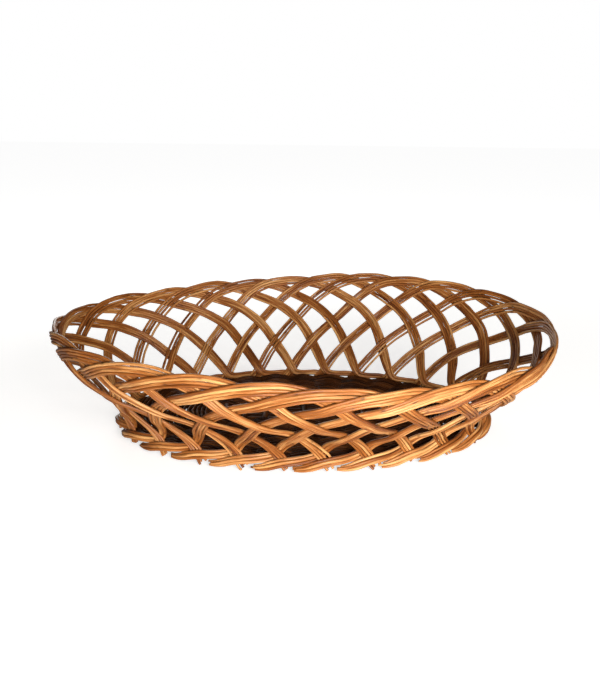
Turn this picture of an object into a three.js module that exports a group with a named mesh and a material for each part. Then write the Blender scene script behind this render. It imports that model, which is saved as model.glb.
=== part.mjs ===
// Oval willow basket with an open lattice wall.
//
// Twenty-four groups of four willow rods make the whole wall. Each group starts flat against the foot,
// climbs as a leaning leg, runs over as a low arch at the rim, comes down six pitches further on and is
// tucked behind the foot. The groups pass in front of and behind each other on the way. Inside the foot
// lies an oval woven base: long sticks pierce split cross sticks, and bands of fine weavers run round them.
//
// Millimetres, +Z up, origin on the table under the basket's centre, +X along the oval, front at -Y.

import * as THREE from 'three';
import { ParametricGeometry } from 'three/addons/geometries/ParametricGeometry.js';

// ---------------------------------------------------------------- driving dimensions

const GROUPS = 24;                                  // rod groups round the basket
const SPAN = 6;                                     // pitches from a group's first hole to its last

const FOOT = { a: 156, b: 88 };                     // half-axes of the wall's middle at the foot
const RIM = { a: 200, b: 151 };                     // the same at the top of the arches
const HOLE_Z = 13;                                  // where the legs leave the foot
const TOP_Z = 91;                                   // middle of the band at the top of an arch
const FLARE = 1.6;                                  // larger keeps the wall upright for longer
const TWIST = 5.5;                                  // the rim rises this much front left and back right
const FIRST_HOLE = 0.35;                            // pitches from the front centre to group 1's hole

const ARCH_X = 1.4;                                 // roundness of the arch along the wall
const ARCH_Z = 0.75;                                // and up it
const ARCH_LEAN = 0.2;                              // pitches that an arch leans back half way up

const LAYER = 1.5;                                  // a band's distance from the wall's middle
const FOOT_LAYER = 3;                               // at the foot three bands lie behind each other
const FOOT_BAND = 6.4;                              // width of a group pressed together at the foot
const FOOT_REACH = 1.42;                            // pitches that a group lies along the foot
const BUTT = { width: 10.2, thickness: 2.4 };       // four rods side by side at their thick end
const TIP = { width: 7.6, thickness: 2.0 };         // and at their thin end
const RIM_BAND = 9.0;                               // width of a group at the top of its arch
const TAIL_REACH = 0.28;                            // pitches that the cut ends lean under the foot

const BASE_GAP = 5.2;                               // from the wall's middle in to the edge of the base
const BASE_Z = 7.6;                                 // middle of the base
const CROSS_STICKS = 9;
const LONG_STICKS = 5;
const CROSS_STEP = 17;                              // spacing of the cross sticks in the middle
const LONG_STEP = 5.5;                              // spacing of the long sticks in the middle
const STICK = { width: 4.6, height: 4 };
const SLIT = { reach: 13.8, end: 15.9, height: 4.7 }; // half length of the split, of its bulge, and its height
const SPLIT_HEIGHT = 8.4;                           // a cross stick is this tall where it is split
const SLATH = { x: 82, y: 17 };                     // half-size of the middle, before the sticks fan out
const WEAVER_BANDS = 6;                             // bands of weaving from the middle to the edge
const GROUPED_BANDS = 2;                            // inner bands that take each end's sticks together
const WEAVER = { thickness: 2.2, rise: 3.5, gap: 0.6, rest: 0.2, groupedRest: 0.3 };

const WILLOW = [0xb9752f, 0xa9652a, 0xc4833c, 0x9c5a24];
const STICK_COLOUR = 0x6d3c19;
const WEAVER_COLOUR = 0x5a2f14;

// ---------------------------------------------------------------- the wall's middle surface

const footLine = new THREE.EllipseCurve(0, 0, FOOT.a, FOOT.b);
footLine.arcLengthDivisions = 2000;

// Angle on the oval at a distance of s pitches, counter-clockwise from the front centre.
function ovalAngle(s) {
  const turn = THREE.MathUtils.euclideanModulo(s / GROUPS - 0.25, 1);
  return footLine.getUtoTmapping(turn) * 2 * Math.PI;
}

// Point on the wall: straight up in the foot, then flaring out and turning upright again at the rim.
// The wall is slightly warped, so the rim is higher in two opposite quarters and lower in the others.
function wallPoint(s, z) {
  const h = THREE.MathUtils.clamp((z - HOLE_Z) / (TOP_Z - HOLE_Z), 0, 1);
  const flare = Math.sin((Math.PI / 2) * h) ** FLARE;
  const angle = ovalAngle(s);
  const a = THREE.MathUtils.lerp(FOOT.a, RIM.a, flare);
  const b = THREE.MathUtils.lerp(FOOT.b, RIM.b, flare);
  const lift = TWIST * h * Math.sin(2 * angle);
  return new THREE.Vector3(a * Math.cos(angle), b * Math.sin(angle), z + lift);
}

function wallNormal(s, z) {
  const along = wallPoint(s + 0.02, z).sub(wallPoint(s - 0.02, z));
  const up = wallPoint(s, z + 0.2).sub(wallPoint(s, z - 0.2));
  return along.cross(up).normalize();
}

// ---------------------------------------------------------------- bands

// A path of stations, each with its point, the direction of the band's face, its width and thickness.
// ExtrudeGeometry asks it for its points and frames, so the band keeps its face to that direction.
class BandPath extends THREE.Curve {
  constructor(stations) {
    super();
    this.stations = stations;
  }

  getSpacedPoints() {
    return this.stations.map((station) => station.point);
  }

  computeFrenetFrames() {
    const frames = { tangents: [], normals: [], binormals: [] };
    const last = this.stations.length - 1;
    this.stations.forEach(({ point, face, width, thickness }, i) => {
      const from = this.stations[Math.max(i - 1, 0)].point;
      const to = this.stations[Math.min(i + 1, last)].point;
      const tangent = to.clone().sub(from).normalize();
      const across = face.clone().cross(tangent).normalize();
      const out = tangent.clone().cross(across).normalize();
      frames.tangents.push(tangent);
      frames.normals.push(across.multiplyScalar(width));
      frames.binormals.push(out.multiplyScalar(thickness));
    });
    return frames;
  }
}

const unitSquare = new THREE.Shape([
  new THREE.Vector2(-0.5, -0.5),
  new THREE.Vector2(0.5, -0.5),
  new THREE.Vector2(0.5, 0.5),
  new THREE.Vector2(-0.5, 0.5),
]);

function bandGeometry(stations) {
  return new THREE.ExtrudeGeometry(unitSquare, {
    steps: stations.length - 1,
    extrudePath: new BandPath(stations),
  });
}

// ---------------------------------------------------------------- one rod group

// Height of the arch at u pitches from its middle, from 0 at the holes to 1 at the top.
function archHeight(u) {
  return Math.max(0, 1 - Math.abs(u / (SPAN / 2)) ** ARCH_X) ** ARCH_Z;
}

// Which side of the wall the band is on at u: held level over each crossing, sloping between them.
// Crossings lie every half pitch. From the rim down the climbing leg is out, out, in, in, out.
const LEG_LAYERS = [
  [0.17, 1], [1.18, 1], [1.35, -1], [2.11, -1], [2.39, 1], [2.61, 1],
];
const LEG_STATIONS = [
  0.17, 0.34, 0.5, 0.67, 0.84, 1.0, 1.18, 1.26, 1.35, 1.5, 1.64, 1.8, 2.0, 2.11, 2.25, 2.39, 2.5, 2.61, 2.75,
];

function legLayer(distance) {
  const next = LEG_LAYERS.findIndex(([at]) => at >= distance);
  if (next === 0) return LEG_LAYERS[0][1];
  if (next < 0) return LEG_LAYERS.at(-1)[1];
  const [fromAt, from] = LEG_LAYERS[next - 1];
  const [toAt, to] = LEG_LAYERS[next];
  return THREE.MathUtils.mapLinear(distance, fromAt, toAt, from, to);
}

function archStation(hole, u, layer, width) {
  const height = archHeight(u);
  return {
    s: hole + SPAN / 2 + u - ARCH_LEAN * Math.sin(Math.PI * height),
    z: THREE.MathUtils.lerp(HOLE_Z, TOP_Z, height),
    layer,
    width,
  };
}

function groupStations(hole) {
  const low = FOOT_BAND / 2;
  const high = HOLE_Z - FOOT_BAND / 2;
  const foot = [
    { s: hole - FOOT_REACH, z: low, layer: FOOT_LAYER },
    { s: hole - FOOT_REACH + 0.3, z: low, layer: FOOT_LAYER },
    { s: hole - FOOT_REACH + 0.38, z: low, layer: FOOT_LAYER },
    { s: hole - 0.86, z: low + 2.2, layer: FOOT_LAYER },
    { s: hole - 0.67, z: low + 4.4, layer: FOOT_LAYER },
    { s: hole - 0.45, z: high - 0.4, layer: 0 },
    { s: hole - 0.23, z: high + 1, layer: -FOOT_LAYER },
    { s: hole - 0.07, z: HOLE_Z - 0.2, layer: -FOOT_LAYER },
    { s: hole + 0.03, z: HOLE_Z + 3.4, layer: -FOOT_LAYER },
    { s: hole + 0.08, z: HOLE_Z + 7.5, layer: -FOOT_LAYER },
  ].map((station) => ({ ...station, width: FOOT_BAND }));

  const climbing = LEG_STATIONS.toReversed().map((distance) => {
    const width = distance > 2.3
      ? THREE.MathUtils.mapLinear(distance, 2.75, 2.3, FOOT_BAND + 1, BUTT.width)
      : THREE.MathUtils.lerp(RIM_BAND, BUTT.width, Math.min(distance / 1.5, 1));
    const layer = distance > 2.7 ? -0.3 * FOOT_LAYER : LAYER * legLayer(distance);
    return archStation(hole, -distance, layer, width);
  });
  const top = archStation(hole, 0, 0, RIM_BAND);
  const falling = LEG_STATIONS.map((distance) => {
    const width = THREE.MathUtils.mapLinear(distance, 0, 2.75, RIM_BAND, TIP.width);
    const layer = distance > 2.7 ? -0.4 * LAYER : -LAYER * legLayer(distance);
    return archStation(hole, distance, layer, width);
  });

  const lastHole = hole + SPAN;
  const tail = [
    { s: lastHole - 0.13, z: HOLE_Z + 7.5, layer: 0 },
    { s: lastHole, z: HOLE_Z, layer: 0 },
    { s: lastHole + 0.12, z: HOLE_Z - 4, layer: 0 },
    { s: lastHole + TAIL_REACH, z: 2.6, layer: 0 },
  ].map((station) => ({ ...station, width: TIP.width - 1.4 }));

  const path = [...foot, ...climbing, top, ...falling, ...tail];
  return path.map(({ s, z, layer, width }, i) => {
    const face = wallNormal(s, z);
    const thickness = THREE.MathUtils.lerp(BUTT.thickness, TIP.thickness, i / (path.length - 1));
    return { point: wallPoint(s, z).addScaledVector(face, layer), face, width, thickness };
  });
}

// ---------------------------------------------------------------- the base

// The sticks' ends are numbered round the base from the front centre, evenly spaced along its edge.
const STICK_ENDS = 2 * (CROSS_STICKS + LONG_STICKS);
const edgeLine = new THREE.EllipseCurve(0, 0, FOOT.a - BASE_GAP, FOOT.b - BASE_GAP);
edgeLine.arcLengthDivisions = 2000;
const HALF_CROSS = (CROSS_STICKS - 1) / 2;
const HALF_LONG = (LONG_STICKS - 1) / 2;
const FRONT = 0;
const RIGHT = STICK_ENDS / 4;
const BACK = STICK_ENDS / 2;
const LEFT = (3 * STICK_ENDS) / 4;

function edgePoint(end) {
  return edgeLine.getPointAt(THREE.MathUtils.euclideanModulo(end / STICK_ENDS - 0.25, 1));
}

// Which stick an end belongs to: the side it comes out at, and its place counted from that side's middle.
function stickAt(end) {
  const n = THREE.MathUtils.euclideanModulo(end + HALF_CROSS, STICK_ENDS) - HALF_CROSS;
  if (n <= FRONT + HALF_CROSS) return { side: FRONT, place: n - FRONT };
  if (n <= RIGHT + HALF_LONG) return { side: RIGHT, place: n - RIGHT };
  if (n <= BACK + HALF_CROSS) return { side: BACK, place: n - BACK };
  return { side: LEFT, place: n - LEFT };
}

// Where a stick leaves the straight middle and starts to fan out.
function slathPoint(end) {
  const { side, place } = stickAt(end);
  if (side === FRONT) return new THREE.Vector2(place * CROSS_STEP, -SLATH.y);
  if (side === BACK) return new THREE.Vector2(-place * CROSS_STEP, SLATH.y);
  if (side === RIGHT) return new THREE.Vector2(SLATH.x, place * LONG_STEP);
  return new THREE.Vector2(-SLATH.x, -place * LONG_STEP);
}

function fanPoint(end, fraction) {
  return slathPoint(end).lerp(edgePoint(end), fraction);
}

function longStickGeometry(place) {
  const right = RIGHT + place;
  const left = LEFT - place;
  const inset = 0.985;
  const route = [fanPoint(left, inset), slathPoint(left), slathPoint(right), fanPoint(right, inset)];
  return bandGeometry(route.map((p) => ({
    point: new THREE.Vector3(p.x, p.y, BASE_Z),
    face: new THREE.Vector3(0, 0, 1),
    width: STICK.width,
    thickness: STICK.height,
  })));
}

// A cross stick is its side view, slit and all, given a width; its two ends are then swung out to fan.
function crossStickGeometry(place) {
  const end = fanPoint(FRONT + place, 0.985);
  const half = STICK.height / 2;
  const reach = -end.y;
  const side = new THREE.Shape([
    new THREE.Vector2(-reach, -half),
    new THREE.Vector2(-SLATH.y, -half),
    new THREE.Vector2(-SLIT.end, -half),
    new THREE.Vector2(-SLIT.reach, -SPLIT_HEIGHT / 2),
    new THREE.Vector2(SLIT.reach, -SPLIT_HEIGHT / 2),
    new THREE.Vector2(SLIT.end, -half),
    new THREE.Vector2(SLATH.y, -half),
    new THREE.Vector2(reach, -half),
    new THREE.Vector2(reach, half),
    new THREE.Vector2(SLATH.y, half),
    new THREE.Vector2(SLIT.end, half),
    new THREE.Vector2(SLIT.reach, SPLIT_HEIGHT / 2),
    new THREE.Vector2(-SLIT.reach, SPLIT_HEIGHT / 2),
    new THREE.Vector2(-SLIT.end, half),
    new THREE.Vector2(-SLATH.y, half),
    new THREE.Vector2(-reach, half),
  ]);
  side.holes.push(new THREE.Path([
    new THREE.Vector2(-SLIT.reach, -SLIT.height / 2),
    new THREE.Vector2(-SLIT.reach, SLIT.height / 2),
    new THREE.Vector2(SLIT.reach, SLIT.height / 2),
    new THREE.Vector2(SLIT.reach, -SLIT.height / 2),
  ]));
  const geometry = new THREE.ExtrudeGeometry(side, { depth: STICK.width, bevelEnabled: false });
  geometry.rotateX(Math.PI / 2);
  geometry.rotateZ(Math.PI / 2);
  geometry.translate(place * CROSS_STEP - STICK.width / 2, 0, BASE_Z);
  const position = geometry.attributes.position;
  for (let i = 0; i < position.count; i += 1) {
    const beyond = Math.max(0, (Math.abs(position.getY(i)) - SLATH.y) / (reach - SLATH.y));
    position.setX(i, position.getX(i) + beyond * (end.x - place * CROSS_STEP));
  }
  return geometry;
}

// One band of weaving: it goes over one stick and under the next, and the next band does the reverse.
function weaverGeometry(band) {
  const inner = band / WEAVER_BANDS + WEAVER.gap / 2 / (FOOT.b - BASE_GAP - SLATH.y);
  const outer = (band + 1) / WEAVER_BANDS - WEAVER.gap / 2 / (FOOT.b - BASE_GAP - SLATH.y);
  const ends = Array.from({ length: STICK_ENDS }, (_, end) => end);
  const line = (fraction) => new THREE.CatmullRomCurve3(ends.map((end) => {
    const p = fanPoint(end, fraction);
    return new THREE.Vector3(p.x, p.y, 0);
  }), true, 'catmullrom', 0.5);
  const innerLine = line(inner);
  const outerLine = line(outer);
  const over = (end) => {
    const { side, place } = stickAt(end);
    const isEnd = side === RIGHT || side === LEFT;
    const count = band < GROUPED_BANDS && isEnd ? 1 : place + (isEnd ? 1 : 0);
    return (Math.abs(count) + band) % 2 === 0 ? 1 : -1;
  };
  const rest = band < GROUPED_BANDS ? WEAVER.groupedRest : WEAVER.rest;
  const corners = [[0, -1], [1, -1], [1, 1], [0, 1]];
  const place = (u, v, target) => {
    const station = Math.round(u * 2 * STICK_ENDS) % (2 * STICK_ENDS);
    const end = Math.floor(station / 2);
    const [side, top] = corners[Math.round(v * 4) % 4];
    const t = THREE.MathUtils.euclideanModulo((end + (station % 2 ? rest : -rest)) / STICK_ENDS, 1);
    target.copy((side ? outerLine : innerLine).getPoint(t));
    target.z = BASE_Z + WEAVER.rise * over(end) + (top * WEAVER.thickness) / 2;
  };
  return new ParametricGeometry(place, 2 * STICK_ENDS, 4);
}

// ---------------------------------------------------------------- assembly

const basket = new THREE.Group();
basket.name = 'basket';

function add(name, geometry, color, roughness) {
  const mesh = new THREE.Mesh(geometry, new THREE.MeshStandardMaterial({ color, roughness, metalness: 0 }));
  mesh.name = name;
  basket.add(mesh);
}

const two = (n) => String(n).padStart(2, '0');

for (let k = 0; k < GROUPS; k += 1) {
  add(`rod_group_${two(k + 1)}`, bandGeometry(groupStations(k + FIRST_HOLE)), WILLOW[k % WILLOW.length], 0.45);
}
for (let i = 0; i < LONG_STICKS; i += 1) {
  add(`base_long_stick_${i + 1}`, longStickGeometry(i - HALF_LONG), STICK_COLOUR, 0.6);
}
for (let i = 0; i < CROSS_STICKS; i += 1) {
  add(`base_cross_stick_${i + 1}`, crossStickGeometry(i - HALF_CROSS), STICK_COLOUR, 0.6);
}
for (let band = 0; band < WEAVER_BANDS; band += 1) {
  add(`base_weaver_band_${band + 1}`, weaverGeometry(band), WEAVER_COLOUR, 0.6);
}

export default basket;
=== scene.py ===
"""Oval willow basket with an open lattice wall, every willow rod, stick and weaver on its own.

Metres, +Z up, origin on the table under the basket's centre, +X along the oval, front at -Y.
"""

import math

import bpy
import numpy as np
from mathutils import Matrix, Vector


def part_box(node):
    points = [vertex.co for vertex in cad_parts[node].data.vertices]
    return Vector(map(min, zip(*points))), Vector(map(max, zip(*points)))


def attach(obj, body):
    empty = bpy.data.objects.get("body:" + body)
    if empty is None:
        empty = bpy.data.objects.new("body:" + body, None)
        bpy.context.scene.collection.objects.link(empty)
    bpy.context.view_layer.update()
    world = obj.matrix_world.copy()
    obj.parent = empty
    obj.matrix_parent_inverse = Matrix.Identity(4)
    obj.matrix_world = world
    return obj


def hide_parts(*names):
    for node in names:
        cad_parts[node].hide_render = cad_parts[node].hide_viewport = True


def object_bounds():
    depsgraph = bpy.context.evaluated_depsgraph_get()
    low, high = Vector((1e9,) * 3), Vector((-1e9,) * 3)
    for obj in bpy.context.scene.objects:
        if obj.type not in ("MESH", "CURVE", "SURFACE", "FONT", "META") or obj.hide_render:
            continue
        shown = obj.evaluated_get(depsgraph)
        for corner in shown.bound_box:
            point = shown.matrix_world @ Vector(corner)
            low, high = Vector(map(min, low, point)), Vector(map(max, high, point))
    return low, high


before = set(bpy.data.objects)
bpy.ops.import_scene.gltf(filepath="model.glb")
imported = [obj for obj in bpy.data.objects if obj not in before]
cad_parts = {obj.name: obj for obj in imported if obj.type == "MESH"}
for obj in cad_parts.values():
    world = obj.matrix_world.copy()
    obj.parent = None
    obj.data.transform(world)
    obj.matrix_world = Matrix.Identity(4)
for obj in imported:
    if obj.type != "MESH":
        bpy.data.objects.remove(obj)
cad_low, cad_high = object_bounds()

MM = 0.001

# ---------------------------------------------------------------- the basket's measures

GROUPS = 24                     # groups of rods round the wall
SPAN = 6                        # pitches from a group's first hole to its last
RODS = 4                        # rods in a group

RIM_STANDS_OUT = 2.8 * MM       # from the wall's middle to the outside of the arches
RIM_BAND = 9.0 * MM             # width of a group at the top of its arch
BASE_GAP = 5.5 * MM             # from the wall's middle in to the outermost weaver band's solid
EDGE_GAP = 2.0 * MM             # and in to the ends of the sticks, which are pushed in between the roots

_, band_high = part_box("base_weaver_band_6")
RIM_A = cad_high.x - RIM_STANDS_OUT
RIM_B = cad_high.y - RIM_STANDS_OUT
FOOT_A = band_high.x + BASE_GAP
FOOT_B = band_high.y + BASE_GAP
group_tops = [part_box(f"rod_group_{group:02d}")[1].z for group in range(1, GROUPS + 1)]
TWIST = (max(group_tops) - min(group_tops)) / 2
TOP_Z = (max(group_tops) + min(group_tops)) / 2 - RIM_BAND / 2
HOLE_Z = 13 * MM                # where the legs leave the foot
FLARE = 1.6                     # larger keeps the wall upright for longer
FIRST_HOLE = 0.35               # pitches from the front centre to group 1's hole
ARCH_LEAN = 0.2                 # pitches that an arch leans back half way up

LAYER = 1.35 * MM               # a leg's distance from the wall's middle, in front or behind
FOOT_LAYER = 3.9 * MM           # the same in the foot, where the rods are bunched
BUTT_RADIUS = 1.36 * MM         # a rod at its thick end
TIP_RADIUS = 1.06 * MM          # and at its thin end
TAPER = 0.8                     # below 1, a rod thins sooner
CUT_LENGTH = 15 * MM            # the thick ends are cut on a slant over this length
CUT_SIZE = 0.55                 # and this share of the thickness is left at their tips
STEP = 1.3 * MM                 # spacing of the rings along a rod
SIDES = 12

# How the rods of a group lie: side by side on the legs, bunched two by two in the foot.
SIDE_BY_SIDE = 0.96             # spacing in rod thicknesses
LATER_SPREAD = 0.10             # up to this much more where the group comes down
BUNCH_SPACING = 0.47            # spacing in rod thicknesses in the foot
BUNCH_DEPTH = 0.82              # each second rod lies this many radii behind, the others in front

# The unevenness of handwork.
HOLE_SCATTER = 0.035            # pitches
HEIGHT_SCATTER = 1.2            # millimetres up or down for a whole group
GROUP_WANDER = 0.9 * MM
ROD_WANDER = 0.22 * MM
DEPTH_WANDER = 0.2 * MM
WIDEST_GAP = 1.6 * MM           # between two loose rods of a group
GAP_RARITY = 8                  # larger makes wide gaps rarer
THINNEST = 0.93                 # share of a rod's usual thickness
THICKEST = 1.05
OVER_THE_TABLE = 1.12           # rod radii that a rod's middle keeps above the table
FALLS_FROM = 0.5                # share of a rod's length where it starts to come down
FALLS_OVER = 0.2                # and the share over which it loosens
BUTT_CUTS = 4                   # a rod's thick end is cut back by fewer rings than this
TIP_CUTS = 3                    # and its thin end by fewer than this
FEWEST_KNOTS = 3
MOST_KNOTS = 6

# How a rod looks close up.
ROUGH_SIZE = 0.05               # share by which its thickness comes and goes
BEVEL_SHARE = 0.78              # size of the last ring at a cut end
BEVEL_LENGTH = 0.25             # its distance beyond the end, in radii
KNOT_LENGTH = 1.5 * MM
SWELL_LENGTH = 3 * MM           # a knot's swelling reaches further than its stain
KNOT_WIDTH = 0.35               # larger spreads a knot further round the rod
KNOT_FROM_END = 0.03            # share of a rod's length that stays free of knots at each end
SWELL_ALL_ROUND = 0.07
SWELL_AT_KNOT = 0.12
CUT_STAIN = 0.35                # how dark a cut end is
PAINTED_SHADE_SHARPNESS = 5            # larger keeps the painted shade on a rod's sides narrower
GRAIN_SPAN = 400                # each rod takes its grain from its own place within this many millimetres

STICK_WIDTH = 4.6 * MM
STICK_HEIGHT = 3.2 * MM
LONG_STICK_FIT = 1.12           # the long sticks nearly touch each other
LONG_STICK_FLAT = 0.87
LONG_STICK_WANDER = 0.25 * MM
CROSS_STICKS = 9
LONG_STICKS = 5
CROSS_STEP = 17 * MM
LONG_STEP = 5.5 * MM
SLIT_REACH = 13.8 * MM          # half length of the slit that the long sticks go through
SLIT_END = 16.4 * MM            # where the split rod has closed again
SLIT_LIFT = 1.75 * MM           # half height of the slit
SPLIT_HALF = 1.70 * MM          # thickness of a split half
SLATH_X = 82 * MM               # half size of the middle, before the sticks fan out
SLATH_Y = 15.0 * MM
WEAVER_BANDS = 6
ROWS_PER_BAND = 6
GROUPED_BANDS = 2               # inner bands that take each end's long sticks together
FIRST_ROW = 0.6                 # row spacings from the middle's edge to the first row
ROW_SCATTER = 0.0012            # share of the way from the middle to the edge
WEAVER_RADIUS = 1.22 * MM
WEAVER_RISE = 2.45 * MM
WEAVER_WANDER = 0.08 * MM
THINNEST_WEAVER = 0.9
THICKEST_WEAVER = 1.04

stick_low, stick_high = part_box("base_long_stick_3")
BASE_Z = (stick_low.z + stick_high.z) / 2

SEED = 20
LONG_STICK_SEED = SEED + 100
CROSS_STICK_SEED = SEED + 200
WEAVER_SEED = SEED + 300


# ---------------------------------------------------------------- meshes

def make_object(name, parts, material):
    """One object from several closed shells, each a dict of points, quads, triangles and point values."""
    points = np.concatenate([p["points"] for p in parts])
    starts = np.cumsum([0] + [len(p["points"]) for p in parts[:-1]])
    quads = np.concatenate([p["quads"] + at for p, at in zip(parts, starts)])
    triangles = np.concatenate([p["triangles"] + at for p, at in zip(parts, starts)])
    corners = np.concatenate([quads.ravel(), triangles.ravel()])
    sizes = np.concatenate([np.full(len(quads), 4), np.full(len(triangles), 3)])
    mesh = bpy.data.meshes.new(name)
    mesh.vertices.add(len(points))
    mesh.vertices.foreach_set("co", points.astype(np.float32).ravel())
    mesh.loops.add(len(corners))
    mesh.loops.foreach_set("vertex_index", corners.astype(np.int32))
    mesh.polygons.add(len(sizes))
    mesh.polygons.foreach_set("loop_start", (np.cumsum(sizes) - sizes).astype(np.int32))
    mesh.update(calc_edges=True)
    mesh.validate()
    mesh.shade_smooth()
    grain = mesh.attributes.new("grain", "FLOAT_VECTOR", "POINT")
    directions = np.concatenate([p["grain"] for p in parts])
    grain.data.foreach_set("vector", directions.astype(np.float32).ravel())
    for key in ("tone", "knot", "painted_groove_shade"):
        values = mesh.attributes.new(key, "FLOAT", "POINT")
        values.data.foreach_set("value", np.concatenate([p[key] for p in parts]).astype(np.float32))
    mesh.materials.append(material)
    made = bpy.data.objects.new(name, mesh)
    bpy.context.scene.collection.objects.link(made)
    return made


def smooth(values, width):
    """Each column averaged along the path with a bell-shaped weight, so that corners become bends."""
    reach = int(3 * width) + 1
    bell = np.exp(-0.5 * (np.arange(-reach, reach + 1) / width) ** 2)
    bell /= bell.sum()
    before = 2 * values[0] - values[reach:0:-1]
    after = 2 * values[-1] - values[-2:-reach - 2:-1]
    padded = np.concatenate([before, values, after])
    return np.stack([np.convolve(column, bell, "valid") for column in padded.T], axis=1)


def unit(vectors):
    return vectors / np.linalg.norm(vectors, axis=-1, keepdims=True)


ROD_WAVES = (55 * MM, 31 * MM, 17 * MM)
GROUP_WAVES = (120 * MM, 70 * MM, 40 * MM)
ROUGH_WAVES = (26 * MM, 15 * MM, 9 * MM)


def ripple(rng, length, amplitude, waves=ROD_WAVES):
    """A gentle random wander along a rod: sine waves of shrinking length, each half as strong as the last."""
    phases = rng.uniform(0, 2 * math.pi, len(waves))
    shares = 0.5 ** np.arange(len(waves))
    angle = length[:, None] * 2 * math.pi / np.array(waves) + phases
    return amplitude * (np.sin(angle) * shares).sum(axis=1) / shares.sum()


def round_rod(rng, path, across, out, radius, closed=False, knots=4, painted_groove_shade=0.0):
    """A round rod along a path: each ring is the path's point plus radius times (cos t across + sin t out).

    The radius swells at the knots. An open rod is closed at both cut ends by a slightly smaller ring and
    a middle point. The last argument paints shade on the rod's two sides, where it lies against its
    neighbours.
    """
    if not closed:
        ahead = unit(path[-1] - path[-2])
        back = unit(path[0] - path[1])
        edge = BEVEL_LENGTH * radius[[0, -1]]
        path = np.concatenate([[path[0] + back * edge[0]], path, [path[-1] + ahead * edge[1]]])
        across = np.concatenate([across[:1], across, across[-1:]])
        out = np.concatenate([out[:1], out, out[-1:]])
        radius = np.concatenate([[BEVEL_SHARE * radius[0]], radius, [BEVEL_SHARE * radius[-1]]])
    count = len(path)
    turn = np.arange(SIDES) * 2 * math.pi / SIDES
    ring = np.cos(turn)[None, :, None] * across[:, None] + np.sin(turn)[None, :, None] * out[:, None]
    step = np.linalg.norm(np.diff(path, axis=0), axis=1)
    length = np.concatenate([[0], np.cumsum(step)])
    knot = np.zeros((count, SIDES))
    swell = np.zeros((count, SIDES))
    knot_places = rng.uniform(KNOT_FROM_END, 1 - KNOT_FROM_END, knots) * length[-1]
    knot_faces = rng.uniform(0, 2 * math.pi, knots)
    for at, face in zip(knot_places, knot_faces):
        near = np.exp(-((length - at) / KNOT_LENGTH) ** 2)[:, None]
        facing = np.exp(-((1 - np.cos(turn - face)) / KNOT_WIDTH))[None, :]
        knot = np.maximum(knot, near * facing)
        round_knot = np.exp(-((length - at) / SWELL_LENGTH) ** 2)[:, None]
        swell += round_knot * (SWELL_ALL_ROUND + SWELL_AT_KNOT * facing)
    uneven = 1 + ripple(rng, length, ROUGH_SIZE, ROUGH_WAVES)
    size = (radius * uneven)[:, None] * (1 + swell)
    points = path[:, None] + ring * size[..., None]
    i = np.arange(count if closed else count - 1)[:, None]
    j = np.arange(SIDES)[None, :]
    i_next = (i + 1) % count
    j_next = (j + 1) % SIDES
    here = i * SIDES
    beyond = i_next * SIDES
    quads = np.stack([here + j, here + j_next, beyond + j_next, beyond + j], axis=-1)
    offset = rng.uniform(0, GRAIN_SPAN, 2)
    grain = np.stack(np.broadcast_arrays(
        np.cos(turn)[None, :] * radius[:, None] / MM + offset[0],
        np.sin(turn)[None, :] * radius[:, None] / MM + offset[1],
        length[:, None] / MM,
    ), axis=-1).reshape(-1, 3)
    # Painted shade on the rod's two sides, where it lies against its neighbours.
    side = np.broadcast_to(painted_groove_shade * np.abs(np.cos(turn))[None, :] ** PAINTED_SHADE_SHARPNESS, (count, SIDES)).ravel()
    made = {
        "points": points.reshape(-1, 3),
        "quads": quads.reshape(-1, 4),
        "triangles": np.zeros((0, 3), int),
        "grain": grain,
        "knot": knot.ravel(),
        "painted_groove_shade": side,
    }
    if not closed:
        last = (count - 1) * SIDES
        first_middle = count * SIDES
        around = np.arange(SIDES)
        following = (around + 1) % SIDES
        start = np.stack([np.full(SIDES, first_middle), following, around], axis=-1)
        end = np.stack([np.full(SIDES, first_middle + 1), last + around, last + following], axis=-1)
        made["triangles"] = np.concatenate([start, end])
        made["points"] = np.concatenate([made["points"], path[[0, -1]]])
        made["grain"] = np.concatenate([grain, grain[[0, last]]])
        made["knot"] = np.concatenate([made["knot"], [CUT_STAIN, CUT_STAIN]])
        made["painted_groove_shade"] = np.concatenate([side, [0, 0]])
    made["tone"] = np.full(len(made["points"]), rng.uniform(0, 1))
    return made


# ---------------------------------------------------------------- the wall's middle surface

OVAL_POINTS = 4001
TURN_ANGLES = np.linspace(0, 2 * math.pi, OVAL_POINTS)
NEAR_S = 0.02                   # pitches
NEAR_Z = 0.2 * MM


def share_along(a, b):
    """Share of the way round an oval at each of TURN_ANGLES, by the summed length of its chords."""
    steps = np.hypot(np.diff(a * np.cos(TURN_ANGLES)), np.diff(b * np.sin(TURN_ANGLES)))
    return np.concatenate([[0], np.cumsum(steps)]) / steps.sum()


FOOT_SHARE = share_along(FOOT_A, FOOT_B)


def wall_point(s, z):
    """Point on the wall at s pitches counter-clockwise from the front centre, equally spaced along the foot.

    The oval's half sizes grow from the foot to the rim by the sine of the height, to the power FLARE.
    The wall is slightly warped: it rises by TWIST times the sine of twice the angle, growing with height.
    """
    angle = np.interp((s / GROUPS - 0.25) % 1.0, FOOT_SHARE, TURN_ANGLES)
    height = np.clip((z - HOLE_Z) / (TOP_Z - HOLE_Z), 0, 1)
    flare = np.sin(math.pi / 2 * height) ** FLARE
    a = FOOT_A + (RIM_A - FOOT_A) * flare
    b = FOOT_B + (RIM_B - FOOT_B) * flare
    lift = TWIST * height * np.sin(2 * angle)
    return np.stack([a * np.cos(angle), b * np.sin(angle), z + lift], axis=-1)


def wall_normal(s, z):
    """Outward direction: the step along the wall crossed with the step up it."""
    along = wall_point(s + NEAR_S, z) - wall_point(s - NEAR_S, z)
    up = wall_point(s, z + NEAR_Z) - wall_point(s, z - NEAR_Z)
    return unit(np.cross(along, up))


# ---------------------------------------------------------------- one group of rods

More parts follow.
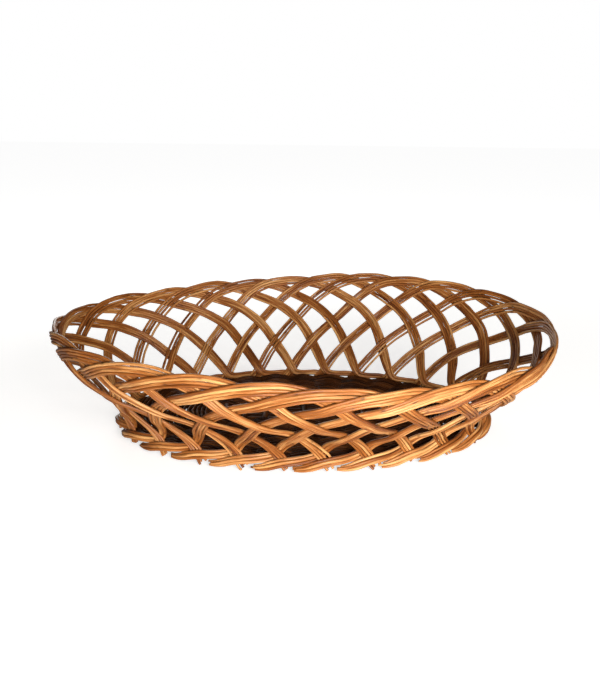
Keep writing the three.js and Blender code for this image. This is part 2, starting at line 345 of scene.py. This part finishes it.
# Along the foot: pitches from the group's hole, height in millimetres, layer in foot layers, and how far
# the rods are bunched.
FOOT_ROUTE = np.array([
    [-1.68, 2.9, 0.4, 1.0],
    [-1.52, 3.1, 0.75, 1.0],
    [-1.30, 5.4, 1.0, 1.0],
    [-1.00, 8.9, 1.1, 1.0],
    [-0.75, 10.3, 1.0, 1.0],
    [-0.52, 10.5, 0.55, 1.0],
    [-0.36, 10.8, 0.05, 0.95],
    [-0.22, 11.2, -0.3, 0.85],
    [-0.10, 12.2, -0.42, 0.75],
    [0.00, 16.0, -0.42, 0.6],
    [0.10, 21.6, -0.3, 0.4],
    [0.20, 27.3, -0.05, 0.2],
])
# The same for the thin ends, counted from the last hole.
TAIL_ROUTE = np.array([
    [-0.15, 20.0, 0.2, 0.0],
    [-0.01, 13.0, 0.35, 0.0],
    [0.07, 9.0, 0.2, 0.0],
    [0.13, 6.5, 0.2, 0.0],
    [0.19, 4.4, 0.65, 0.0],
    [0.24, 2.5, 0.9, 0.0],
])
# Distance from the top of the arch in pitches, and the side of the wall that the climbing leg is on.
LEG_SIDES = np.array([
    [0.0, 0.0],
    [0.22, 1.0],
    [1.12, 1.0],
    [1.39, -1.0],
    [2.08, -1.0],
    [2.41, 1.0],
    [2.61, 1.0],
    [2.85, -0.3],
])
# The arch: distance from its top in pitches, and the height in millimetres there, coming down and climbing.
ARCH = np.array([
    [0.0, 91.0, 91.0],
    [0.25, 90.5, 90.5],
    [0.5, 88.7, 88.7],
    [0.75, 85.2, 85.2],
    [1.0, 80.4, 80.4],
    [1.25, 74.8, 74.8],
    [1.5, 68.6, 68.6],
    [1.75, 62.0, 61.9],
    [2.0, 54.8, 54.2],
    [2.25, 47.0, 44.8],
    [2.5, 38.5, 34.5],
    [2.75, 28.4, 24.0],
    [3.0, 13.0, 13.0],
])


def leg_route(distance, climbing):
    """Half of the arch, as rows like the foot's.

    The height is read off ARCH as a share of the way from the holes to the top, and the arch leans back by
    the sine of half a turn times that share. The leg that comes down is on the other side of the wall.
    """
    falling_share, climbing_share = (
        (np.interp(distance, ARCH[:, 0], column) - ARCH[-1, 1]) / (ARCH[0, 1] - ARCH[-1, 1])
        for column in (ARCH[:, 1], ARCH[:, 2]))
    height = climbing_share if climbing else falling_share
    lean = ARCH_LEAN * np.sin(math.pi * falling_share)
    side = np.interp(distance, LEG_SIDES[:, 0], LEG_SIDES[:, 1])
    direction = -1 if climbing else 1
    return np.stack([
        SPAN / 2 + direction * distance - lean,
        (HOLE_Z + (TOP_Z - HOLE_Z) * height) / MM,
        -direction * side * LAYER / FOOT_LAYER,
        np.zeros_like(distance),
    ], axis=-1)


CLIMB_FROM = 2.5                # pitches from the arch's top where the climbing leg takes over from the foot
FALL_TO = 2.75                  # and where the leg coming down gives way to the thin ends
NEAR_TOP = 0.03
LEG_POINTS = 100


def group_route():
    """The whole way of a group: along the foot, up, over the arch and down behind the foot's strokes."""
    climbing = leg_route(np.linspace(CLIMB_FROM, NEAR_TOP, LEG_POINTS), True)
    falling = leg_route(np.linspace(NEAR_TOP, FALL_TO, LEG_POINTS), False)
    tail = TAIL_ROUTE + [SPAN, 0, 0, 0]
    return np.concatenate([FOOT_ROUTE, climbing, falling, tail])


ROUTE_SMOOTHING = 2.4           # rings
LAYER_SMOOTHING = 2.0           # and once more for the layer


def even_steps(route, hole):
    """The route resampled at STEP, by the distance along the wall, and smoothed."""
    points = wall_point(hole + route[:, 0], route[:, 1] * MM)
    length = np.concatenate([[0], np.cumsum(np.linalg.norm(np.diff(points, axis=0), axis=1))])
    even = np.arange(0, length[-1], STEP)
    columns = np.stack([np.interp(even, length, column) for column in route.T], axis=1)
    columns = smooth(columns, ROUTE_SMOOTHING)
    columns[:, 2] = smooth(columns[:, 2:3], LAYER_SMOOTHING)[:, 0]
    return columns, even


LEG_STARTS = 20                 # height in millimetres where a group's own height scatter sets in
LEG_BLENDS = 10                 # and over how much height


def rod_group(number, material):
    """Four rods that follow one route side by side, bunched two by two in the foot.

    Each rod's path is the group's middle, plus its place across the band, plus its depth in the bunch.
    """
    rng = np.random.default_rng(SEED + number)
    hole = FIRST_HOLE + number - 1 + rng.uniform(-HOLE_SCATTER, HOLE_SCATTER)
    route = group_route()
    on_leg = np.clip(route[:, 1] - LEG_STARTS, 0, LEG_BLENDS) / LEG_BLENDS
    route[:, 1] += on_leg * rng.uniform(-HEIGHT_SCATTER, HEIGHT_SCATTER)
    columns, length = even_steps(route, hole)
    s, z, layer, bunched = columns.T
    z = z * MM
    share = length / length[-1]
    falling = np.clip((share - FALLS_FROM) / FALLS_OVER, 0, 1)
    slanted = CUT_SIZE + (1 - CUT_SIZE) * np.clip(length / CUT_LENGTH, 0, 1)
    face = wall_normal(hole + s, z)
    middle = wall_point(hole + s, z) + face * (layer * FOOT_LAYER)[:, None]
    ahead = unit(np.gradient(middle, axis=0))
    across = unit(np.cross(face, ahead))
    out = unit(np.cross(ahead, across))
    wander = ripple(rng, length, GROUP_WANDER, GROUP_WAVES) * (1 - bunched)
    middle = middle + across * wander[:, None]
    spread = SIDE_BY_SIDE + falling * rng.uniform(0.0, LATER_SPREAD)
    loose = rng.uniform(0, 1, RODS - 1) ** GAP_RARITY * WIDEST_GAP
    gaps = np.concatenate([[0], np.cumsum(loose)])
    gaps = gaps - gaps.mean()
    places = np.arange(RODS) - (RODS - 1) / 2
    parts = []
    for rod, place in enumerate(places):
        thick = rng.uniform(THINNEST, THICKEST)
        even_radius = (BUTT_RADIUS + (TIP_RADIUS - BUTT_RADIUS) * share ** TAPER) * slanted
        radius = thick * even_radius
        beside = place * 2 * even_radius * (spread * (1 - bunched) + BUNCH_SPACING * bunched)
        beside = beside + gaps[rod] * falling + ripple(rng, length, ROD_WANDER)
        depth = (-1) ** rod * BUNCH_DEPTH * even_radius * bunched
        depth = depth + ripple(rng, length, DEPTH_WANDER) * (1 - bunched)
        path = middle + across * beside[:, None] + out * depth[:, None]
        path[:, 2] = np.maximum(path[:, 2], radius * OVER_THE_TABLE)
        cut_start = rng.integers(0, BUTT_CUTS)
        cut_end = rng.integers(0, TIP_CUTS)
        keep = slice(cut_start, len(path) - cut_end)
        rod_ahead = unit(np.gradient(path, axis=0))
        rod_across = unit(np.cross(out, rod_ahead))
        rod_out = np.cross(rod_ahead, rod_across)
        knots = rng.integers(FEWEST_KNOTS, MOST_KNOTS + 1)
        # Each rod gets painted shade on its sides against its neighbours.
        parts.append(round_rod(
            rng, path[keep], rod_across[keep], rod_out[keep], radius[keep], knots=knots, painted_groove_shade=1.0))
    node = f"rod_group_{number:02d}"
    made = make_object(node + "_rods", parts, material)
    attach(made, "root")
    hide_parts(node)


# ---------------------------------------------------------------- the base

STICK_ENDS = 2 * (CROSS_STICKS + LONG_STICKS)
HALF_CROSS = (CROSS_STICKS - 1) // 2
HALF_LONG = (LONG_STICKS - 1) // 2
FRONT = 0
RIGHT = STICK_ENDS // 4
BACK = STICK_ENDS // 2
LEFT = 3 * STICK_ENDS // 4
EDGE_A = FOOT_A - EDGE_GAP
EDGE_B = FOOT_B - EDGE_GAP
EDGE_SHARE = share_along(EDGE_A, EDGE_B)
UP = np.array([0.0, 0.0, 1.0])


def stick_at(end):
    """The side that a stick's end comes out at, and its place counted from that side's middle."""
    n = (end + HALF_CROSS) % STICK_ENDS - HALF_CROSS
    if n <= FRONT + HALF_CROSS:
        return FRONT, n - FRONT
    if n <= RIGHT + HALF_LONG:
        return RIGHT, n - RIGHT
    if n <= BACK + HALF_CROSS:
        return BACK, n - BACK
    return LEFT, n - LEFT


def slath_point(end):
    """Where a stick leaves the straight middle and starts to fan out."""
    side, place = stick_at(end)
    return {
        FRONT: np.array([place * CROSS_STEP, -SLATH_Y]),
        BACK: np.array([-place * CROSS_STEP, SLATH_Y]),
        RIGHT: np.array([SLATH_X, place * LONG_STEP]),
        LEFT: np.array([-SLATH_X, -place * LONG_STEP]),
    }[side]


def edge_point(end):
    """The sticks' ends are evenly spaced along the edge oval, counted from the front centre."""
    angle = np.interp((end / STICK_ENDS - 0.25) % 1.0, EDGE_SHARE, TURN_ANGLES)
    return np.array([EDGE_A * np.cos(angle), EDGE_B * np.sin(angle)])


SLATH_POINTS = np.array([slath_point(end) for end in range(STICK_ENDS)])
EDGE_POINTS = np.array([edge_point(end) for end in range(STICK_ENDS)])


STICK_SMOOTHING = 3             # rings
SLIT_SMOOTHING = 1.5


def flat_route(corners):
    """A polyline on the base resampled at STEP and smoothed, with its directions across and up."""
    length = np.concatenate([[0], np.cumsum(np.linalg.norm(np.diff(corners, axis=0), axis=1))])
    even = np.arange(0, length[-1], STEP)
    flat = np.stack([np.interp(even, length, column) for column in corners.T], axis=1)
    flat = smooth(flat, STICK_SMOOTHING)
    path = np.column_stack([flat, np.full(len(flat), BASE_Z)])
    across = unit(np.cross(UP, np.gradient(path, axis=0)))
    return path, across


def long_stick(number, material):
    """A straight rod through the middle whose two ends fan out to the edge."""
    rng = np.random.default_rng(LONG_STICK_SEED + number)
    place = number - 1 - HALF_LONG
    right = RIGHT + place
    left = LEFT - place
    corners = np.array([EDGE_POINTS[left], SLATH_POINTS[left], SLATH_POINTS[right], EDGE_POINTS[right]])
    path, across = flat_route(corners)
    path = path + across * ripple(rng, np.arange(len(path)) * STEP, LONG_STICK_WANDER)[:, None]
    up = np.broadcast_to(UP, path.shape) * LONG_STICK_FLAT * STICK_HEIGHT / STICK_WIDTH
    radius = np.full(len(path), STICK_WIDTH / 2 * LONG_STICK_FIT)
    part = round_rod(rng, path, across, up, radius, knots=5)
    node = f"base_long_stick_{number}"
    made = make_object(node + "_rod", [part], material)
    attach(made, "root")
    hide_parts(node)


def cross_stick(number, material):
    """A rod split in its middle: two half-round strips that part over and under the long sticks.

    Each strip's ring is its flat face at the lift, and a half ellipse beyond it.
    """
    rng = np.random.default_rng(CROSS_STICK_SEED + number)
    place = number - 1 - HALF_CROSS
    front = place % STICK_ENDS
    back = (BACK - place) % STICK_ENDS
    corners = np.array([EDGE_POINTS[front], SLATH_POINTS[front], SLATH_POINTS[back], EDGE_POINTS[back]])
    path, across = flat_route(corners)
    open_share = np.clip((SLIT_END - np.abs(path[:, 1])) / (SLIT_END - SLIT_REACH), 0, 1)
    open_share = smooth(open_share[:, None], SLIT_SMOOTHING)[:, 0]
    lift = SLIT_LIFT * open_share
    height = STICK_HEIGHT / 2 + (SPLIT_HALF - STICK_HEIGHT / 2) * open_share
    width = STICK_WIDTH / 2
    parts = []
    for side in (1, -1):
        up = np.broadcast_to(UP, path.shape)
        part = round_rod(rng, path, across, up, np.full(len(path), width), knots=3)
        ring = part["points"]
        rise = (ring[:, 2] - BASE_Z) / width
        at = np.concatenate([[0], np.arange(len(path)), [len(path) - 1]])
        at = np.concatenate([np.repeat(at, SIDES), [0, len(path) - 1]])
        beyond = np.clip(side * rise, 0, None)
        ring[:, 2] = BASE_Z + side * (lift[at] + height[at] * beyond)
        parts.append(part)
    node = f"base_cross_stick_{number}"
    made = make_object(node + "_rod", parts, material)
    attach(made, "root")
    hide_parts(node)


def over_sticks(row, grouped):
    """Plus one where the row passes over a stick and minus one where it passes under."""
    sides = []
    for end in range(STICK_ENDS):
        side, place = stick_at(end)
        is_end = side in (RIGHT, LEFT)
        count = 1 if grouped and is_end else place + int(is_end)
        sides.append(1 if (abs(count) + row) % 2 == 0 else -1)
    return np.array(sides, float)


def closed_spline(values, per_span):
    """A smooth closed curve through the values: four-point cubic between each two neighbours."""
    t = np.arange(per_span)[None, :, None] / per_span
    before, here, after, beyond = (np.roll(values, shift, axis=0)[:, None] for shift in (1, 0, -1, -2))
    curve = 0.5 * (
        2 * here + (after - before) * t + (2 * before - 5 * here + 4 * after - beyond) * t ** 2
        + (3 * here - before - 3 * after + beyond) * t ** 3)
    return curve.reshape(-1, values.shape[1])


POINTS_PER_SPAN = 4             # between a stick and the middle of the way to the next


def weaver_band(number, material):
    """Rows of thin rods round the base, each over one stick and under the next, against its neighbours.

    A row's route is a smooth closed curve through the sticks at its share of the way out from the middle.
    """
    rng = np.random.default_rng(WEAVER_SEED + number)
    grouped = number <= GROUPED_BANDS
    rows = WEAVER_BANDS * ROWS_PER_BAND
    parts = []
    for row in range((number - 1) * ROWS_PER_BAND, number * ROWS_PER_BAND):
        share = (row + FIRST_ROW) / rows + rng.normal(0, ROW_SCATTER)
        flat = SLATH_POINTS + (EDGE_POINTS - SLATH_POINTS) * share
        side = over_sticks(row, grouped) * WEAVER_RISE
        turned = np.repeat(side, 2)
        turned[1::2] = (side + np.roll(side, -1)) / 2
        middle = (flat + np.roll(flat, -1, axis=0)) / 2
        places = np.stack([flat, middle], axis=1).reshape(-1, 2)
        values = np.column_stack([places, turned])
        curve = closed_spline(values, POINTS_PER_SPAN)
        path = np.column_stack([curve[:, :2], BASE_Z + curve[:, 2]])
        path[:, 2] += rng.normal(0, WEAVER_WANDER, len(path))
        ahead = unit(np.roll(path, -1, axis=0) - np.roll(path, 1, axis=0))
        across = unit(np.cross(UP, ahead))
        up = np.cross(ahead, across)
        radius = np.full(len(path), WEAVER_RADIUS * rng.uniform(THINNEST_WEAVER, THICKEST_WEAVER))
        parts.append(round_rod(rng, path, across, up, radius, closed=True, knots=6))
    node = f"base_weaver_band_{number}"
    made = make_object(node + "_rods", parts, material)
    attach(made, "root")
    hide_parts(node)


# ---------------------------------------------------------------- willow

# Noise scales across and along a rod, per millimetre.
STREAK_SCALE = (1.9, 1.9, 0.06)
DRIFT_SCALE = (0.15, 0.15, 0.022)
FIBRE_SCALE = (5.5, 5.5, 0.22)
# How much each moves the colour between dark and pale.
STREAK_WEIGHT = 1.5
DRIFT_WEIGHT = 1.3
TONE_WEIGHT = 0.5
KNOT_STAIN = 0.85
# How dark the painted shade is on a rod's sides, where it lies against its neighbours.
PAINTED_SHADE_STRENGTH = 0.35
STAIN_AND_SHADE_COLOUR = (0.35, 0.3, 0.3)     # share of the dark willow's red, green and blue, for the knots and for the painted shade
DULLEST = 0.55
GLOSSIEST = 0.34
VARNISH_ROUGHNESS = 0.22
RELIEF_STRENGTH = 0.55
RELIEF_DEPTH = 0.3 * MM
STREAK_RELIEF = 0.6
FIBRE_RELIEF = 0.4


def willow(name, dark, middle, pale, varnish, shine):
    """Varnished willow: long fine streaks, a slow change along each rod, its own tone, and dark knots.

    The colour runs from dark through middle to pale by the sum of streak, drift and tone, and is darkened
    by the larger of the knots' dark marks and the painted shade on the rods' sides between neighbours.
    """
    material = bpy.data.materials.new(name)
    material.use_nodes = True
    tree = material.node_tree
    nodes = tree.nodes
    links = tree.links
    shader = nodes["Principled BSDF"]

    def attribute(key):
        node = nodes.new("ShaderNodeAttribute")
        node.attribute_name = key
        return node

    def noise(scale, detail, rough):
        mapping = nodes.new("ShaderNodeMapping")
        mapping.inputs["Scale"].default_value = scale
        links.new(grain.outputs["Vector"], mapping.inputs["Vector"])
        node = nodes.new("ShaderNodeTexNoise")
        node.inputs["Scale"].default_value = 1.0
        node.inputs["Detail"].default_value = detail
        node.inputs["Roughness"].default_value = rough
        links.new(mapping.outputs["Vector"], node.inputs["Vector"])
        return node.outputs["Fac"]

    def math_node(kind, first, second, clamp=False):
        node = nodes.new("ShaderNodeMath")
        node.operation = kind
        node.use_clamp = clamp
        for socket, value in zip(node.inputs, (first, second)):
            if isinstance(value, (int, float)):
                socket.default_value = value
            else:
                links.new(value, socket)
        return node.outputs[0]

    def centred(value, weight):
        return math_node("MULTIPLY", math_node("SUBTRACT", value, 0.5), weight)

    grain = attribute("grain")
    streak = noise(STREAK_SCALE, detail=4.0, rough=0.65)
    drift = noise(DRIFT_SCALE, detail=2.0, rough=0.5)
    fibre = noise(FIBRE_SCALE, detail=2.0, rough=0.6)

    streak_part = centred(streak, STREAK_WEIGHT)
    drift_part = centred(drift, DRIFT_WEIGHT)
    tone_part = centred(attribute("tone").outputs["Fac"], TONE_WEIGHT)
    pattern = math_node("ADD", streak_part, drift_part)
    level = math_node("ADD", pattern, math_node("ADD", tone_part, 0.5), clamp=True)

    ramp = nodes.new("ShaderNodeValToRGB")
    ramp.color_ramp.elements[0].position = 0.0
    ramp.color_ramp.elements[0].color = (*dark, 1)
    ramp.color_ramp.elements[1].position = 1.0
    ramp.color_ramp.elements[1].color = (*pale, 1)
    between = ramp.color_ramp.elements.new(0.5)
    between.color = (*middle, 1)
    links.new(level, ramp.inputs["Fac"])

    # This mix darkens the colour for the knots and for the painted shade between neighbouring rods.
    stain = nodes.new("ShaderNodeMix")
    stain.data_type = "RGBA"
    stain_and_shade_share = stain.inputs[0]
    clean = stain.inputs[6]
    stained_and_shaded = stain.inputs[7]
    stained_and_shaded.default_value = (*(part * share for part, share in zip(dark, STAIN_AND_SHADE_COLOUR)), 1)
    knot = math_node("MULTIPLY", attribute("knot").outputs["Fac"], KNOT_STAIN)
    # Painted shade on the rods' sides between neighbours.
    painted_groove_shade = math_node("MULTIPLY", attribute("painted_groove_shade").outputs["Fac"], PAINTED_SHADE_STRENGTH)
    links.new(math_node("MAXIMUM", knot, painted_groove_shade), stain_and_shade_share)
    links.new(ramp.outputs["Color"], clean)
    links.new(stain.outputs[2], shader.inputs["Base Color"])

    gloss = nodes.new("ShaderNodeMapRange")
    gloss.inputs["To Min"].default_value = DULLEST
    gloss.inputs["To Max"].default_value = GLOSSIEST
    links.new(streak, gloss.inputs["Value"])
    links.new(gloss.outputs["Result"], shader.inputs["Roughness"])

    streak_relief = math_node("MULTIPLY", streak, STREAK_RELIEF)
    fibre_relief = math_node("MULTIPLY", fibre, FIBRE_RELIEF)
    bump = nodes.new("ShaderNodeBump")
    bump.inputs["Strength"].default_value = RELIEF_STRENGTH
    bump.inputs["Distance"].default_value = RELIEF_DEPTH
    links.new(math_node("ADD", streak_relief, fibre_relief), bump.inputs["Height"])
    links.new(bump.outputs["Normal"], shader.inputs["Normal"])

    shader.inputs["Specular IOR Level"].default_value = shine
    shader.inputs["Coat Weight"].default_value = varnish
    shader.inputs["Coat Roughness"].default_value = VARNISH_ROUGHNESS
    return material


rod_willow = willow(
    "varnished_willow_rods",
    dark=(0.11, 0.025, 0.004),
    middle=(0.34, 0.112, 0.022),
    pale=(0.74, 0.40, 0.15),
    varnish=0.13,
    shine=0.22,
)
# The base's sticks and weavers: the willow's own brown, made far darker than the rods to paint the shade that
# falls inside the basket.
shade_darkened_stick_willow = willow(
    "brown_willow_sticks_with_painted_shade",
    dark=(0.018, 0.005, 0.001),
    middle=(0.055, 0.015, 0.003),
    pale=(0.15, 0.05, 0.013),
    varnish=0.0,
    shine=0.06,
)
shade_darkened_weaver_willow = willow(
    "brown_willow_weavers_with_painted_shade",
    dark=(0.014, 0.004, 0.001),
    middle=(0.048, 0.013, 0.0025),
    pale=(0.15, 0.05, 0.013),
    varnish=0.0,
    shine=0.06,
)

for group in range(1, GROUPS + 1):
    rod_group(group, rod_willow)
for stick in range(1, LONG_STICKS + 1):
    long_stick(stick, shade_darkened_stick_willow)
for stick in range(1, CROSS_STICKS + 1):
    cross_stick(stick, shade_darkened_stick_willow)
for band in range(1, WEAVER_BANDS + 1):
    weaver_band(band, shade_darkened_weaver_willow)

# ---------------------------------------------------------------- floor, light and camera

FLOOR_SIZE = 14.0
FLOOR_GREY = 0.7
FLOOR_ROUGHNESS = 0.8
GLOW_NEAR = 0.62                # the floor's own light near the basket, seen by the camera only
GLOW_FAR = 0.95
GLOW_STARTS = 0.1
GLOW_ENDS = 1.2


def pale_floor():
    """A flat floor whose glow grows smoothly with the distance from the basket, to a white ground."""
    half = FLOOR_SIZE / 2
    corners = [(-half, -half, 0), (half, -half, 0), (half, half, 0), (-half, half, 0)]
    mesh = bpy.data.meshes.new("floor")
    mesh.from_pydata(corners, [], [(0, 1, 2, 3)])
    floor = bpy.data.objects.new("floor", mesh)
    bpy.context.scene.collection.objects.link(floor)
    material = bpy.data.materials.new("pale_floor")
    material.use_nodes = True
    nodes = material.node_tree.nodes
    links = material.node_tree.links
    shader = nodes["Principled BSDF"]
    shader.inputs["Base Color"].default_value = (FLOOR_GREY, FLOOR_GREY, FLOOR_GREY, 1)
    shader.inputs["Roughness"].default_value = FLOOR_ROUGHNESS
    shader.inputs["Emission Color"].default_value = (1, 1, 1, 1)
    place = nodes.new("ShaderNodeTexCoord")
    distance = nodes.new("ShaderNodeVectorMath")
    distance.operation = "LENGTH"
    glow = nodes.new("ShaderNodeMapRange")
    glow.interpolation_type = "SMOOTHSTEP"
    glow.inputs["From Min"].default_value = GLOW_STARTS
    glow.inputs["From Max"].default_value = GLOW_ENDS
    glow.inputs["To Min"].default_value = GLOW_NEAR
    glow.inputs["To Max"].default_value = GLOW_FAR
    seen = nodes.new("ShaderNodeLightPath")
    shown = nodes.new("ShaderNodeMath")
    shown.operation = "MULTIPLY"
    links.new(place.outputs["Object"], distance.inputs[0])
    links.new(distance.outputs["Value"], glow.inputs["Value"])
    links.new(glow.outputs["Result"], shown.inputs[0])
    links.new(seen.outputs["Is Camera Ray"], shown.inputs[1])
    links.new(shown.outputs[0], shader.inputs["Emission Strength"])
    mesh.materials.append(material)


def studio_world(colour, strength):
    """A dim warm light from all round, behind which the camera sees plain white."""
    world = bpy.data.worlds.new("studio")
    world.use_nodes = True
    nodes = world.node_tree.nodes
    links = world.node_tree.links
    light = nodes["Background"]
    light.inputs["Color"].default_value = (*colour, 1)
    light.inputs["Strength"].default_value = strength
    backdrop = nodes.new("ShaderNodeBackground")
    backdrop.inputs["Color"].default_value = (1, 1, 1, 1)
    seen = nodes.new("ShaderNodeLightPath")
    choice = nodes.new("ShaderNodeMixShader")
    links.new(seen.outputs["Is Camera Ray"], choice.inputs["Fac"])
    links.new(light.outputs["Background"], choice.inputs[1])
    links.new(backdrop.outputs["Background"], choice.inputs[2])
    links.new(choice.outputs["Shader"], nodes["World Output"].inputs["Surface"])
    bpy.context.scene.world = world


def soft_light(name, place, target, size, power, colour):
    """A square soft box at a place, turned to face a target."""
    light = bpy.data.lights.new(name, "AREA")
    light.shape = "SQUARE"
    light.size = size
    light.energy = power
    light.color = colour
    lamp = bpy.data.objects.new(name, light)
    bpy.context.scene.collection.objects.link(lamp)
    direction = Vector(target) - Vector(place)
    lamp.location = place
    lamp.rotation_euler = direction.to_track_quat("-Z", "Y").to_euler()
    lamp.visible_camera = False


CAMERA_DISTANCE = 0.548
CAMERA_AZIMUTH = -0.0318
CAMERA_ELEVATION = 0.3813
CAMERA_ROLL = 0.0135
CAMERA_TARGET = Vector((0, 0, 0.04))
SENSOR = 36
LONG_SIDE = 690                 # longer side of the camera's view, in the unit of the next three
FOCAL = 641.0
SHIFT_RIGHT = -4.9
SHIFT_UP = 33.3


def place_camera():
    """The camera looks back along its back vector at the basket, a little rolled."""
    camera = bpy.data.cameras.new("camera")
    camera.sensor_width = SENSOR
    camera.lens = FOCAL / LONG_SIDE * SENSOR
    camera.shift_x = SHIFT_RIGHT / LONG_SIDE
    camera.shift_y = SHIFT_UP / LONG_SIDE
    camera.clip_start = 0.01
    camera.clip_end = 50
    seen = bpy.data.objects.new("camera", camera)
    bpy.context.scene.collection.objects.link(seen)
    back = Vector((
        math.sin(CAMERA_AZIMUTH) * math.cos(CAMERA_ELEVATION),
        -math.cos(CAMERA_AZIMUTH) * math.cos(CAMERA_ELEVATION),
        math.sin(CAMERA_ELEVATION)))
    right = Vector((0, 0, 1)).cross(back).normalized()
    up = back.cross(right)
    cos = math.cos(CAMERA_ROLL)
    sin = math.sin(CAMERA_ROLL)
    turned_right = right * cos + up * sin
    turned_up = up * cos - right * sin
    matrix = Matrix((turned_right, turned_up, back)).transposed().to_4x4()
    matrix.translation = CAMERA_TARGET + back * CAMERA_DISTANCE
    seen.matrix_world = matrix
    bpy.context.scene.camera = seen


WARM = (1.0, 0.97, 0.92)
DAYLIGHT = (1.0, 0.97, 0.93)
COOL = (1.0, 0.98, 0.95)

pale_floor()
studio_world(colour=(1.0, 0.96, 0.90), strength=0.035)
soft_light(
    "front_window", place=(0.05, -0.66, 0.10), target=(0, -0.1, 0.03), size=0.26, power=6.2, colour=DAYLIGHT)
soft_light(
    "front_high", place=(0.6, -1.15, 0.6), target=(-0.05, 0.12, 0.05), size=0.5, power=11.0, colour=WARM)
soft_light(
    "overhead", place=(-0.2, 0.1, 1.6), target=(0, 0, 0), size=1.6, power=2.4, colour=DAYLIGHT)
soft_light(
    "back_fill", place=(-0.3, 1.15, 0.3), target=(0, 0, 0.05), size=0.7, power=6.5, colour=COOL)
place_camera()
bpy.context.scene.view_settings.view_transform = "Standard"
